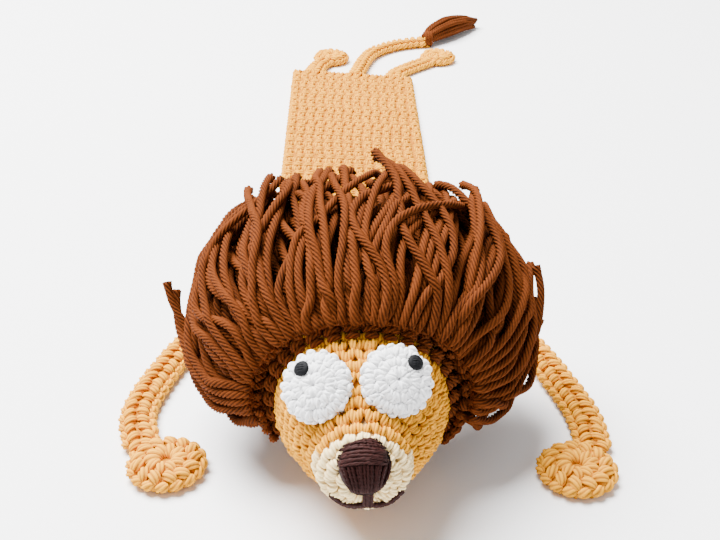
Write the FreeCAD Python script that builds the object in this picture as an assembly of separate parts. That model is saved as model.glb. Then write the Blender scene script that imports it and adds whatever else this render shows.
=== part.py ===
import FreeCAD, Part
import math
import os

# Crocheted lion bookmark: a flat cotton strip with a stuffed head and a yarn mane at its front end,
# two front legs sewn to its sides, and two hind legs and a tail sewn to its back end.
#
# Millimetres. The strip lies on z = 0 with the face towards -Y and the tail towards +Y. The origin is
# on the underside of the strip's narrow end, just in front of the line where it bends under the head.

V = FreeCAD.Vector

# ---- driving dimensions -------------------------------------------------------------------
STITCH = 3.5              # one stitch of the cotton yarn, across
FABRIC = 3.4              # thickness of the crocheted fabric
GAP = 0.3                 # running gap across every soft hinge

STRIP_W = 48.0            # width of the strip
FOLD_Y = 112.0            # where the strip folds in half between the pages
STRIP_END_Y = 227.0       # back end of the strip on its centre line
END_SKEW = 11.8           # degrees, the last row runs askew
NECK_Y = 5.5              # line where the strip bends under the head
TAB_FRONT_Y = -14.0       # front edge of the narrow end that the head is sewn to
TAB_W = 22.0

HEAD_Z = 21.4             # height of the head's axis
SEAM_Y = -41.5            # last cream round of the muzzle
SEAM_R = 9.4
MUZZLE_DEPTH = 7.6        # how far the muzzle's end stands in front of its last round
HAIRLINE_Y = -22.0
HAIRLINE_R = 17.3
HEAD_R = 17.7             # widest round, under the mane
HEAD_BACK_Y = 4.0
SHELL = 2.2               # thickness of the head's fabric

EYE_R = 7.25
EYE_H = 2.9
PUPIL_R = 1.5
NOSE_R = 5.2
NOSE_H = 3.4
THREAD_R = 0.7            # the mouth's embroidery thread

KNOTS = 30                # larks-head knots in each row of the mane
KNOT_R = 1.5
MANE_LIFT = 3.4           # the strands clear the knots by this much
MANE_WIDEN = 1.1          # the mane is wider than it is high

ARM_W = 7.4               # a leg is a narrow strip, two stitches wide
PAW_R = 8.5
PAW_H = 3.9
SHOULDER_Y = 47.0
HIND_PAW_R = 7.2
TAIL_W = 5.6
TAIL_H = 4.0
TAIL_STRAIGHT = 17.0      # the tail leaves the strip straight for this far
TAIL_BEND_R = 31.0        # then bends by this radius
TAIL_TURN = 72.0          # through this angle, in degrees
TUFT_HEADING = 42.0       # the tuft points this far round from +Y to +X
TUFT_L = 38.0
TUFT_R = 5.6

HALF = FABRIC / 2
SIDE_X = STRIP_W / 2


# ---- helpers ------------------------------------------------------------------------------
def save(name, *solids):
    """Writes one node: one solid, or several separate ones."""
    solids = [s for shape in solids for s in shape.Solids]
    shape = solids[0] if len(solids) == 1 else Part.makeCompound(solids)
    shape.exportStep("parts/%s.step" % name)
    print(name, len(solids), "solids", round(sum(s.Volume for s in solids), 1), "mm3")


def slab(outline, height, edge):
    """A flat piece of fabric: an outline in XY, raised to height, its top and bottom edges rounded."""
    wire = Part.makePolygon(outline + outline[:1])
    solid = Part.Face(wire).extrude(V(0, 0, height))
    rims = [e for e in solid.Edges if abs(e.Vertexes[0].Z - e.Vertexes[-1].Z) < 1e-6]
    return solid.makeFillet(edge, rims)


def stadium(width, height, centre, across):
    """Section of a narrow strip: flat top and bottom, half round sides."""
    flat = (width - height) / 2
    up = V(0, 0, height / 2)
    side = across.normalize()
    right, left = centre + side * flat, centre - side * flat
    edges = [
        Part.LineSegment(left + up, right + up).toShape(),
        Part.Arc(right + up, right + side * (height / 2), right - up).toShape(),
        Part.LineSegment(right - up, left - up).toShape(),
        Part.Arc(left - up, left - side * (height / 2), left + up).toShape(),
    ]
    return Part.Wire(edges)


def band(edges, width, height):
    """A narrow strip along a level path of lines and arcs that meet smoothly."""
    path = Part.Wire(edges)
    start = path.OrderedVertexes[0].Point
    first = path.OrderedEdges[0]
    along = first.tangentAt(first.FirstParameter)
    if (first.valueAt(first.FirstParameter) - start).Length > 1e-6:
        along = first.tangentAt(first.LastParameter) * -1
    across = V(-along.y, along.x, 0)
    section = stadium(width, height, start, across)
    return path.makePipeShell([section], True, False)


def ribbon(path, width, height, edge):
    """A narrow flat strip along a level curve, with square ends and rounded long edges."""
    left, right = [], []
    for i in range(9):
        t = path.FirstParameter + (path.LastParameter - path.FirstParameter) * i / 8
        d = path.tangentAt(t)
        side = V(-d.y, d.x, 0) * (width / 2)
        left.append(path.valueAt(t) + side)
        right.append(path.valueAt(t) - side)
    sides = []
    for places in (left, right[::-1]):
        curve_edge = Part.BSplineCurve()
        curve_edge.interpolate(places)
        sides.append(curve_edge.toShape())
    outline = [sides[0], Part.makeLine(left[-1], right[-1]), sides[1], Part.makeLine(right[0], left[0])]
    solid = Part.Face(Part.Wire(outline)).extrude(V(0, 0, height))
    level = [e for e in solid.Edges if abs(e.Vertexes[0].Z - e.Vertexes[-1].Z) < 1e-6]
    rims = [e for e in level if e.Length > width * 1.2]
    return solid.makeFillet(edge, rims)


def barrel(centre, radius, length, axis):
    """A round roll of fabric about a hinge line."""
    return Part.makeCylinder(radius, length, centre - axis * (length / 2), axis)


def disc(centre, radius, height):
    """A flat round paw with a rounded rim, crocheted from its middle."""
    solid = Part.makeCylinder(radius, height, V(centre.x, centre.y, 0))
    return solid.makeFillet(height * 0.35, [e for e in solid.Edges if e.Closed])


def ellipsoid(centre, normal, flat_r, high_r):
    """A dome: round across its normal, and high_r along it."""
    ball = Part.makeSphere(1.0)
    stretch = FreeCAD.Matrix()
    stretch.scale(flat_r, flat_r, high_r)
    ball = ball.transformGeometry(stretch)
    turn = FreeCAD.Rotation(V(0, 0, 1), normal)
    ball.Placement = FreeCAD.Placement(centre, turn)
    return ball


def spin(profile):
    """Turns a closed (y, radius) outline round the head's axis."""
    return profile.revolve(V(0, 0, HEAD_Z), V(0, 1, 0), 360)


# ---- the head's outline -------------------------------------------------------------------
def head_radius(y, inset=0.0):
    """Radius of the head's round at y, of an egg with a blunt muzzle; inset gives the inside."""
    tip, back = SEAM_Y - MUZZLE_DEPTH + inset, HEAD_BACK_Y - inset
    if y <= SEAM_Y:
        share = (y - SEAM_Y) / (tip - SEAM_Y)
        return (SEAM_R - inset) * math.sqrt(max(0.0, 1 - share ** 2.4))
    if y <= HAIRLINE_Y:
        share = (y - SEAM_Y) / (HAIRLINE_Y - SEAM_Y)
        return SEAM_R - inset + (HAIRLINE_R - SEAM_R) * math.sin(share * math.pi / 2) ** 0.94
    middle = (HAIRLINE_Y + HEAD_BACK_Y) / 2 - 3
    if y <= middle:
        share = (y - HAIRLINE_Y) / (middle - HAIRLINE_Y)
        return HAIRLINE_R - inset + (HEAD_R - HAIRLINE_R) * math.sin(share * math.pi / 2)
    share = (y - middle) / (back - middle)
    return (HEAD_R - inset) * math.sqrt(max(0.0, 1 - share ** 2.6))


def curve(y0, y1, inset=0.0, points=12):
    """The head's outline from y0 to y1 as one smooth edge, with its points closer at the round ends."""
    steps = [(1 - math.cos(math.pi * i / (points - 1))) / 2 for i in range(points)]
    ys = [y0 + (y1 - y0) * s for s in steps]
    places = [V(0, y, HEAD_Z + head_radius(y, inset)) for y in ys]
    spline = Part.BSplineCurve()
    spline.interpolate(places)
    return spline.toShape()


def closed(edges):
    """A flat face from an outline whose gaps are closed by straight edges."""
    rim = []
    for i, edge in enumerate(edges):
        rim.append(edge)
        end, start = edge.lastVertex().Point, edges[(i + 1) % len(edges)].firstVertex().Point
        if (end - start).Length > 1e-7:
            rim.append(Part.makeLine(end, start))
    return Part.Face(Part.Wire(rim))


def head_parts():
    """Head shell, muzzle, stuffing and the solid outer shape that the face's pieces sit on."""
    tip, back = SEAM_Y - MUZZLE_DEPTH, HEAD_BACK_Y
    on_axis = lambda y: V(0, y, HEAD_Z)
    reverse = lambda e: Part.Edge(e.Curve.copy(), e.FirstParameter, e.LastParameter)
    outer_front, outer_back = curve(tip, SEAM_Y), curve(SEAM_Y, back)
    inner_front, inner_back = curve(SEAM_Y, tip + SHELL, SHELL), curve(back - SHELL, SEAM_Y, SHELL)
    muzzle = spin(closed([outer_front, inner_front]))
    shell = spin(closed([outer_back, inner_back]))
    whole = spin(closed([reverse(outer_front), reverse(outer_back)]))
    fill_front = curve(tip + SHELL + GAP, SEAM_Y, SHELL + GAP)
    fill_back = curve(SEAM_Y, back - SHELL - GAP, SHELL + GAP)
    stuffing = spin(closed([fill_front, fill_back, Part.makeLine(on_axis(back - SHELL - GAP),
                                                                   on_axis(tip + SHELL + GAP))]))
    return shell, muzzle, stuffing, whole


def on_head(y, turn, lift=0.0):
    """A point on the head at turn degrees from the top, to +X, and the way out of the surface there."""
    r0, r1 = head_radius(y - 0.2), head_radius(y + 0.2)
    slope = math.atan2(r1 - r0, 0.4)
    a = math.radians(turn)
    out = V(math.sin(a) * math.cos(slope), -math.sin(slope), math.cos(a) * math.cos(slope))
    r = head_radius(y)
    return V(r * math.sin(a), y, HEAD_Z + r * math.cos(a)) + out * lift, out


# ---- face ---------------------------------------------------------------------------------
EYES = {                       # y, degrees from the top to +X, the way it faces, pupil across and up
    "left": (-33.6, -38.5, V(-0.28, -0.66, 0.68), (-2.1, 3.2)),
    "right": (-34.4, 28.0, V(0.16, -0.70, 0.66), (2.9, 2.9)),
}


def eye_frame(side):
    """Centre of an eye, the way it faces, and its own right and up."""
    y, turn, facing, _ = EYES[side]
    place, out = on_head(y, turn, 0.9)
    facing = V(facing).normalize()
    right = (V(1, 0, 0) - facing * facing.x).normalize()
    return place, facing, right, facing.cross(right)


def face(whole):
    """Eyes, pupils, nose and the sewn mouth, each cut where it meets the head."""
    for side in EYES:
        place, facing, right, up = eye_frame(side)
        eye = ellipsoid(place, facing, EYE_R, EYE_H)
        across, high = EYES[side][3]
        over = math.sqrt(1 - (across ** 2 + high ** 2) / EYE_R ** 2) * EYE_H
        spot = place + right * across + up * high + facing * over
        pupil = ellipsoid(spot, facing, PUPIL_R, 0.9).cut(eye)
        save(side + "_eye", eye.cut(whole))
        save(side + "_pupil", pupil)
    nose_place = V(0, SEAM_Y - 6.3, HEAD_Z + 3.6)
    nose = ellipsoid(nose_place, V(0, -1, 0.7).normalize(), NOSE_R, NOSE_H)
    save("nose", nose.cut(whole))
    lip = Part.Arc(on_muzzle(0, 0.9), on_muzzle(0, -1.8), on_muzzle(0, -4.4)).toShape()
    save("philtrum", thread(lip).cut(whole).cut(nose))
    smile = [Part.Arc(on_muzzle(s * 0.9, -4.6), on_muzzle(s * 3.9, -5.0), on_muzzle(s * 6.3, -2.6)).toShape()
             for s in (-1, 1)]
    save("mouth_line", *[thread(edge).cut(whole) for edge in smile])


def on_muzzle(x, up):
    """A point on the front of the muzzle, x across and up above the head's axis."""
    share = max(0.05, 1 - (math.hypot(x, up) / SEAM_R) ** 2.4) ** (1 / 2.4)
    return V(x, SEAM_Y - MUZZLE_DEPTH * share - 0.1, HEAD_Z + up)


def thread(edge):
    """A round thread along one edge."""
    start = edge.FirstParameter
    section = Part.makeCircle(THREAD_R, edge.valueAt(start), edge.tangentAt(start))
    return Part.Wire([edge]).makePipeShell([Part.Wire([section])], True, False)


# ---- mane ---------------------------------------------------------------------------------
def knot_row(y, count, skip):
    """One row of knots round the head, without those under it, where the strip is sewn."""
    knots = []
    for i in range(count):
        turn = -180 + 360.0 * (i + 0.5) / count
        if abs(turn) < 180 - skip:
            place, out = on_head(y, turn, KNOT_R + 0.03)
            if place.z - KNOT_R > 0.4:
                knots.append(ellipsoid(place, out, KNOT_R * 1.05, KNOT_R))
    return knots


def mane_profile(front_y, back_y, reach):
    """Outline of the mane's side, in (y, radius): out from the hairline, over the top and down behind."""
    hair = head_radius(HAIRLINE_Y) + 0.8
    length = back_y - front_y
    out = [(front_y - 1.2, hair + 2.6), (front_y + length * 0.08, hair + reach * 0.56),
           (front_y + length * 0.32, hair + reach * 0.9), (front_y + length * 0.6, hair + reach),
           (back_y - 5, hair + reach * 0.86), (back_y, hair + reach * 0.5)]
    inner = [(back_y - 3, 7.0), (HEAD_BACK_Y + 1.0, 6.0), (HEAD_BACK_Y - 0.5, 12.0)]
    lifts = [0.05, 0.3, 0.6, 1.0]
    middle = [HEAD_BACK_Y - 2.5 + (front_y + 0.5 - HEAD_BACK_Y + 2.5) * t for t in lifts]
    inner += [(y, head_radius(y) + MANE_LIFT) for y in middle]
    at = lambda p: V(0, p[0], HEAD_Z + p[1])
    spline = Part.BSplineCurve()
    spline.interpolate([at(p) for p in out])
    edges = [spline.toShape()]
    points = [at(out[-1])] + [at(p) for p in inner] + [at(out[0])]
    edges += [Part.makeLine(p, q) for p, q in zip(points, points[1:])]
    return Part.Face(Part.Wire(edges))


def lock(first, last, front_y, back_y, reach):
    """The strands between two angles from the top, to +X, as one soft wedge."""
    face = mane_profile(front_y, back_y, reach)
    face.rotate(V(0, 0, HEAD_Z), V(0, 1, 0), first)
    wedge = face.revolve(V(0, 0, HEAD_Z), V(0, 1, 0), last - first)
    stretch = FreeCAD.Matrix()
    stretch.scale(MANE_WIDEN, 1, 1)
    return wedge.transformGeometry(stretch)


def clear_below():
    """What the mane may not enter: the floor, and the strip as the head tips up on it."""
    big = 200.0
    floor = Part.makeBox(big, big, big, V(-big / 2, -big / 2, 0.3 - big))
    rise = math.tan(math.radians(24))
    side = [V(-30, TAB_FRONT_Y - 8, 0), V(-30, TAB_FRONT_Y - 8, FABRIC + 0.4), V(-30, NECK_Y, FABRIC + 0.4),
            V(-30, 60, FABRIC + 0.4 + rise * (60 - NECK_Y)), V(-30, 60, 0)]
    wedge = Part.Face(Part.makePolygon(side + side[:1])).extrude(V(60, 0, 0))
    return floor.fuse(wedge)


def mane(knot_rows):
    below = clear_below()
    slit = 0.6                       # degrees between neighbouring locks
    front = HAIRLINE_Y
    locks = {
        "mane_top": (-25, 25, front, 22, 16.5),
        "mane_upper_left": (-72, -25, front, 23, 18.5),
        "mane_upper_right": (25, 72, front, 23, 18.5),
        "mane_left": (-103, -72, front, 22, 17.5),
        "mane_right": (72, 103, front, 22, 17.5),
        "mane_lower_left": (-126, -103, front + 8, 16, 13.0),
        "mane_lower_right": (103, 126, front + 8, 16, 13.0),
    }
    for name, (first, last, front_y, back_y, reach) in locks.items():
        solid = lock(first + slit, last - slit, front_y, back_y, reach).cut(below)
        save(name, max(solid.Solids, key=lambda s: s.Volume))
    for name, (y, count, skip) in knot_rows.items():
        save(name, *knot_row(y, count, skip))


# ---- strip --------------------------------------------------------------------------------
SKEW = math.radians(END_SKEW)
END_ALONG = V(math.cos(SKEW), -math.sin(SKEW), 0)     # along the last row, to +X
END_OUT = V(math.sin(SKEW), math.cos(SKEW), 0)        # out of the last row


def end_point(x):
    """A point on the strip's last row."""
    return V(x, STRIP_END_Y - x * math.tan(SKEW), 0)


def strip():
    edge = HALF * 0.8
    front_end = FOLD_Y - HALF - GAP
    front = slab([V(-SIDE_X, NECK_Y + HALF + GAP, 0), V(SIDE_X, NECK_Y + HALF + GAP, 0),
                  V(SIDE_X, front_end, 0), V(-SIDE_X, front_end, 0)], FABRIC, edge * 0.5)
    save("strip_front", front)
    roll = barrel(V(0, FOLD_Y, HALF), HALF, STRIP_W, V(1, 0, 0))
    back = Part.Face(Part.makePolygon([V(-SIDE_X, FOLD_Y, 0), V(SIDE_X, FOLD_Y, 0), end_point(SIDE_X),
                                       end_point(-SIDE_X), V(-SIDE_X, FOLD_Y, 0)])).extrude(V(0, 0, FABRIC))
    rear = back.fuse(roll).removeSplitter()
    save("strip_rear", rear)
    tab = Part.makeBox(TAB_W, NECK_Y - TAB_FRONT_Y, FABRIC, V(-TAB_W / 2, TAB_FRONT_Y, 0))
    neck_roll = barrel(V(0, NECK_Y, HALF), HALF, TAB_W, V(1, 0, 0))
    tab = tab.fuse(neck_roll).removeSplitter()
    save("neck_tab", tab)
    return front, rear, tab


def whip_stitches(centres, across, reach, cloth):
    """Loops of sewing yarn: what stands above the cloth of each ring that is sewn through it."""
    loops = [Part.makeTorus(reach, 0.55, centre, across).cut(cloth) for centre in centres]
    return [max(loop.Solids, key=lambda s: s.Volume) for loop in loops]


def seams(front, rear, tab, head):
    """Sewing stitches that hold the legs, the tail and the head."""
    top = V(0, 0, FABRIC - 0.3)
    for side, sign in (("left", -1), ("right", 1)):
        centres = [V(sign * (SIDE_X - 1.6), SHOULDER_Y + d, 0) + top for d in (-2.4, 0.0, 2.4)]
        save(side + "_shoulder_stitches", *whip_stitches(centres, V(0, 1, 0), 1.2, front))
    for name, x in (("left_hip_stitches", LEFT_HIP_X), ("right_hip_stitches", RIGHT_HIP_X),
                    ("tail_stitches", TAIL_X)):
        centres = [end_point(x) + END_ALONG * d - END_OUT * 1.6 + top for d in (-2.2, 0.0, 2.2)]
        save(name, *whip_stitches(centres, END_ALONG, 1.2, rear))
    centres = [V(3.5 * (i - 2), TAB_FRONT_Y + 1.2, FABRIC - 0.4) for i in range(5)]
    save("neck_seam", *whip_stitches(centres, V(1, 0, 0), 1.1, tab.fuse(head)))


# ---- legs and tail ------------------------------------------------------------------------
SHOULDER_X = SIDE_X + GAP + HALF
ARM_PATHS = {                  # places along each front leg, from its seam to its paw
    "left": [(SHOULDER_X, 47.0), (34.6, 41.5), (42.4, 28.5), (48.2, 12.0), (50.4, -1.0), (47.8, -12.0)],
    "right": [(SHOULDER_X, 47.0), (34.8, 42.0), (42.0, 28.0), (47.4, 11.0), (50.6, -3.0), (50.6, -14.0)],
}
PAWS = {"left": V(-41.5, -18.5, 0), "right": V(45.6, -21.5, 0)}
LEFT_HIP_X, TAIL_X, RIGHT_HIP_X = -15.6, 1.5, 17.0


def front_legs():
    for side, sign in (("left", -1), ("right", 1)):
        places = [V(sign * x, y, 0) for x, y in ARM_PATHS[side]]
        path = Part.BSplineCurve()
        path.interpolate(places)
        arm = ribbon(path.toShape(), ARM_W, FABRIC, HALF * 0.8)
        arm = arm.fuse(barrel(places[0] + V(0, 0, HALF), HALF, ARM_W, V(0, 1, 0)))
        paw_room = Part.makeCylinder(PAW_R + 0.05, 10, V(PAWS[side].x, PAWS[side].y, -1))
        arm = max(arm.cut(paw_room).Solids, key=lambda s: s.Volume)
        save(side + "_front_leg", arm)
        save(side + "_front_paw", disc(PAWS[side], PAW_R, PAW_H))


def local(x, out, along):
    """A point beyond the strip's last row: out from it and along it from the limb at x."""
    return end_point(x) + END_OUT * out + END_ALONG * along


def hinge_roll(x, width, height):
    """The rolled root of a hind leg or tail, on the hinge line just beyond the last row."""
    return barrel(local(x, HALF + GAP, 0) + V(0, 0, HALF), HALF, width, END_ALONG)


def hind_legs():
    # hip, how far the knee bows and the leg reaches, and how far ankle and paw lie to the side
    plans = {"left": (LEFT_HIP_X, -0.12, 20.0, -0.5, 3.0), "right": (RIGHT_HIP_X, 0.54, 29.0, 12.0, 14.0)}
    for side, (x, bow, reach, ankle_aside, paw_aside) in plans.items():
        root, knee, ankle = (local(x, out, along) + V(0, 0, HALF)
                             for out, along in ((HALF + GAP, 0), (7.0, bow), (reach, ankle_aside)))
        path = Part.BezierCurve()
        path.setPoles([root, knee, ankle - (ankle - knee) * 0.35, ankle])
        leg = band([path.toShape()], ARM_W, FABRIC)
        leg = leg.fuse(hinge_roll(x, ARM_W - 0.4, FABRIC))
        paw_at = local(x, reach, paw_aside)
        paw_room = Part.makeCylinder(HIND_PAW_R + 0.05, 10, V(paw_at.x, paw_at.y, -1))
        leg = max(leg.cut(paw_room).Solids, key=lambda s: s.Volume)
        save(side + "_hind_leg", leg)
        save(side + "_hind_paw", disc(paw_at, HIND_PAW_R, PAW_H))


def tail():
    """The tail's narrow strip: straight out of the last row, then along an arc. Gives its end and its way."""
    start = local(TAIL_X, HALF + GAP, 0) + V(0, 0, TAIL_H / 2)
    straight = start + END_OUT * TAIL_STRAIGHT
    turn = math.radians(TAIL_TURN)
    centre = straight + END_ALONG * TAIL_BEND_R
    arc_at = lambda a: centre + (END_OUT * math.sin(a) - END_ALONG * math.cos(a)) * TAIL_BEND_R
    end = arc_at(turn)
    edges = [Part.makeLine(start, straight), Part.Arc(straight, arc_at(turn / 2), end).toShape()]
    cord = band(edges, TAIL_W, TAIL_H)
    root = barrel(start, TAIL_H / 2 - 0.3, TAIL_W - 0.4, END_ALONG)
    room = Part.makeBox(60, 20, 20, V(-30, -20, -10))
    room.Placement = FreeCAD.Placement(local(TAIL_X, GAP, 0), FreeCAD.Rotation(V(0, 0, 1), -END_SKEW))
    save("tail_cord", cord.fuse(root).cut(room))
    return end, END_ALONG * math.sin(turn) + END_OUT * math.cos(turn)


def tuft(end, way):
    """The yarn wound round the tail's end, and the spindle of loose strands beyond it."""
    wrap_start = V(end.x, end.y, TUFT_R * 0.62) + way * 0.05
    save("tuft_wrap", Part.makeCylinder(TUFT_R * 0.55, 3.0, wrap_start, way))
    start = wrap_start + way * 3.05 + V(0, 0, TUFT_R * 0.38)
    outline = [(0.0, 1.8), (0.18, 4.4), (0.42, TUFT_R - 0.2), (0.7, 4.4), (0.92, 2.0), (1.0, 0.8)]
    spline = Part.BSplineCurve()
    spline.interpolate([V(r, 0, share * TUFT_L) for share, r in outline])
    base, tip = V(0, 0, 0), V(0, 0, TUFT_L)
    rim = [Part.makeLine(base, V(outline[0][1], 0, 0)), spline.toShape(),
           Part.makeLine(V(outline[-1][1], 0, TUFT_L), tip), Part.makeLine(tip, base)]
    strands = Part.Face(Part.Wire(rim)).revolve(base, V(0, 0, 1), 360)
    heading = math.radians(TUFT_HEADING)
    aim = V(math.sin(heading), math.cos(heading), 0)
    strands.Placement = FreeCAD.Placement(start, FreeCAD.Rotation(V(0, 0, 1), aim))
    wall = Part.makeCylinder(30, 30, start - way * 30 - V(0, 0, 5), way)
    save("tail_tuft", max(strands.cut(wall).Solids, key=lambda s: s.Volume))


# ---- the whole object ---------------------------------------------------------------------
def main():
    os.makedirs("parts", exist_ok=True)
    shell, muzzle, stuffing, whole = head_parts()
    save("head_shell", shell)
    save("muzzle", muzzle)
    save("head_stuffing", stuffing)
    face(whole)
    mane({"mane_knots_front": (HAIRLINE_Y + 0.4, KNOTS, 12), "mane_knots_middle": (-16.0, KNOTS, 50),
          "mane_knots_rear": (-8.5, KNOTS, 50)})
    front, rear, tab = strip()
    seams(front, rear, tab, whole)
    front_legs()
    hind_legs()
    tuft(*tail())


main()
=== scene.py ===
import math

import bpy
import numpy as np
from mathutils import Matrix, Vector


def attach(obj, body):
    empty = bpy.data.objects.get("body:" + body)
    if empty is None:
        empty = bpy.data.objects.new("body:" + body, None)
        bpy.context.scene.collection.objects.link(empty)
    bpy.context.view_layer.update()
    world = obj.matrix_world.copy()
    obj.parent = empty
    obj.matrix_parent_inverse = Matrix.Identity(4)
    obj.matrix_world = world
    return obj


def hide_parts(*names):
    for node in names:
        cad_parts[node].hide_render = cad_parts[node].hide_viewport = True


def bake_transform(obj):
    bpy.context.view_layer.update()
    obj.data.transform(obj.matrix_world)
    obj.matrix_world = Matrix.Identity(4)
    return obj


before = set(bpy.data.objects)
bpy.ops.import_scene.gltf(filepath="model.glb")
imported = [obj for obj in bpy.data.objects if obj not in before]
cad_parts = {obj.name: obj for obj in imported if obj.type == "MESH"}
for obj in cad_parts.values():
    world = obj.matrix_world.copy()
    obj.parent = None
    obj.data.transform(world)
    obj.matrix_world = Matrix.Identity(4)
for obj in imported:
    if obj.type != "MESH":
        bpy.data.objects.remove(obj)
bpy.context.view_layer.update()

# Everything below is worked out in millimetres and scaled to metres as each mesh is made.
MM = 0.001
rng = np.random.default_rng(11)
TAU = 2 * math.pi
UP = np.array([0.0, 0.0, 1.0])

# ---- sizes of the real object ----
STITCH_W = 3.43               # one single crochet stitch across
ROW_H = 3.4                   # and one row
FABRIC = 3.4                  # thickness of the fabric, which lies on the table
STRIP_W = 48.0
STRIP_START_Y = 7.5
STRIP_END_Y = 227.0
FOLD_Y = 112.0
PANEL_CUT_Y = 41.5            # the strip's two meshes meet here, on a row line
END_SKEW = math.radians(11.8)  # how far askew the last row runs
TAB_W = 22.0
TAB_FRONT_Y = -14.0
SHOULDER_Y = 47.0

HEAD_Z = 21.4                 # height of the head's axis
SEAM_Y = -41.5                # the cream muzzle ends here
SEAM_R = 9.4
MUZZLE_DEPTH = 7.6
HAIRLINE_Y = -22.0
HAIRLINE_R = 17.3
HEAD_R = 17.7
HEAD_BACK_Y = 4.0

EYE_R = 7.25
EYE_H = 2.9
PUPIL_R = 1.55
STRAND_R = 0.93
MANE_WIDEN = 1.1              # the mane is this much wider than it is high

PAW_R = 8.5
PAW_H = 3.9
HIND_PAW_R = 7.2


# ---- numbers ----
def unit(v):
    return v / np.maximum(np.linalg.norm(v, axis=-1, keepdims=True), 1e-9)


def smooth_path(places, count):
    """count places along a Catmull-Rom curve through places, evenly spaced along it."""
    p = np.asarray(places, float)
    ends = [2 * p[0] - p[1]], [2 * p[-1] - p[-2]]
    q = np.concatenate([ends[0], p, ends[1]])
    out = []
    for i in range(len(p) - 1):
        a, b, c, d = q[i:i + 4]
        t = np.linspace(0, 1, 12, endpoint=False)[:, None]
        out.append(0.5 * (2 * b + (c - a) * t + (2 * a - 5 * b + 4 * c - d) * t ** 2
                          + (3 * b - a - 3 * c + d) * t ** 3))
    out = np.concatenate(out + [p[-1:]])
    return respace(out, count)


def respace(places, count):
    """The same path with count places, evenly spaced along it."""
    steps = np.linalg.norm(np.diff(places, axis=0), axis=1)
    s = np.concatenate([[0], np.cumsum(steps)])
    at = np.linspace(0, s[-1], count)
    return np.stack([np.interp(at, s, places[:, k]) for k in range(3)], axis=1)


# ---- meshes ----
class Piece:
    """Collects rings of vertices and makes one mesh of them."""

    def __init__(self):
        self.verts, self.fibre, self.groove, self.tint = [], [], [], []
        self.quads, self.tris, self.count = [], [], 0

    def add(self, verts, quads, tris, fibre, groove, tint):
        self.verts.append(verts)
        self.quads.append(quads + self.count)
        self.tris.append(tris + self.count)
        self.fibre.append(fibre)
        self.groove.append(groove)
        self.tint.append(np.full(len(verts), tint))
        self.count += len(verts)

    def make(self, name, material):
        verts = np.concatenate(self.verts) * MM
        quads, tris = np.concatenate(self.quads), np.concatenate(self.tris)
        mesh = bpy.data.meshes.new(name)
        mesh.vertices.add(len(verts))
        mesh.vertices.foreach_set("co", verts.astype(np.float32).ravel())
        mesh.loops.add(quads.size + tris.size)
        corners = np.concatenate([quads.ravel(), tris.ravel()])
        mesh.loops.foreach_set("vertex_index", corners.astype(np.int32))
        mesh.polygons.add(len(quads) + len(tris))
        starts = np.concatenate([np.arange(len(quads)) * 4, quads.size + np.arange(len(tris)) * 3])
        mesh.polygons.foreach_set("loop_start", starts.astype(np.int32))
        mesh.update(calc_edges=True)
        mesh.polygons.foreach_set("use_smooth", np.ones(len(mesh.polygons), bool))
        # the painted shade mask goes into the mesh as a vertex attribute, beside fibre and tint
        for key, kind, values in (("fibre", "FLOAT_VECTOR", self.fibre), ("groove", "FLOAT", self.groove),
                                  ("tint", "FLOAT", self.tint)):
            layer = mesh.attributes.new(key, kind, "POINT")
            data = np.concatenate(values).astype(np.float32)
            layer.data.foreach_set("vector" if kind == "FLOAT_VECTOR" else "value", data.ravel())
        mesh.materials.append(material)
        mesh.validate()
        obj = bpy.data.objects.new(name, mesh)
        bpy.context.scene.collection.objects.link(obj)
        return obj


def grid_faces(rows, columns):
    """Quads of a grid of rows by columns vertices whose columns close into a ring."""
    i = np.arange(rows - 1)[:, None] * columns
    j = np.arange(columns)[None, :]
    k = (j + 1) % columns
    return np.stack([i + j, i + k, i + columns + k, i + columns + j], -1).reshape(-1, 4)


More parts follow.
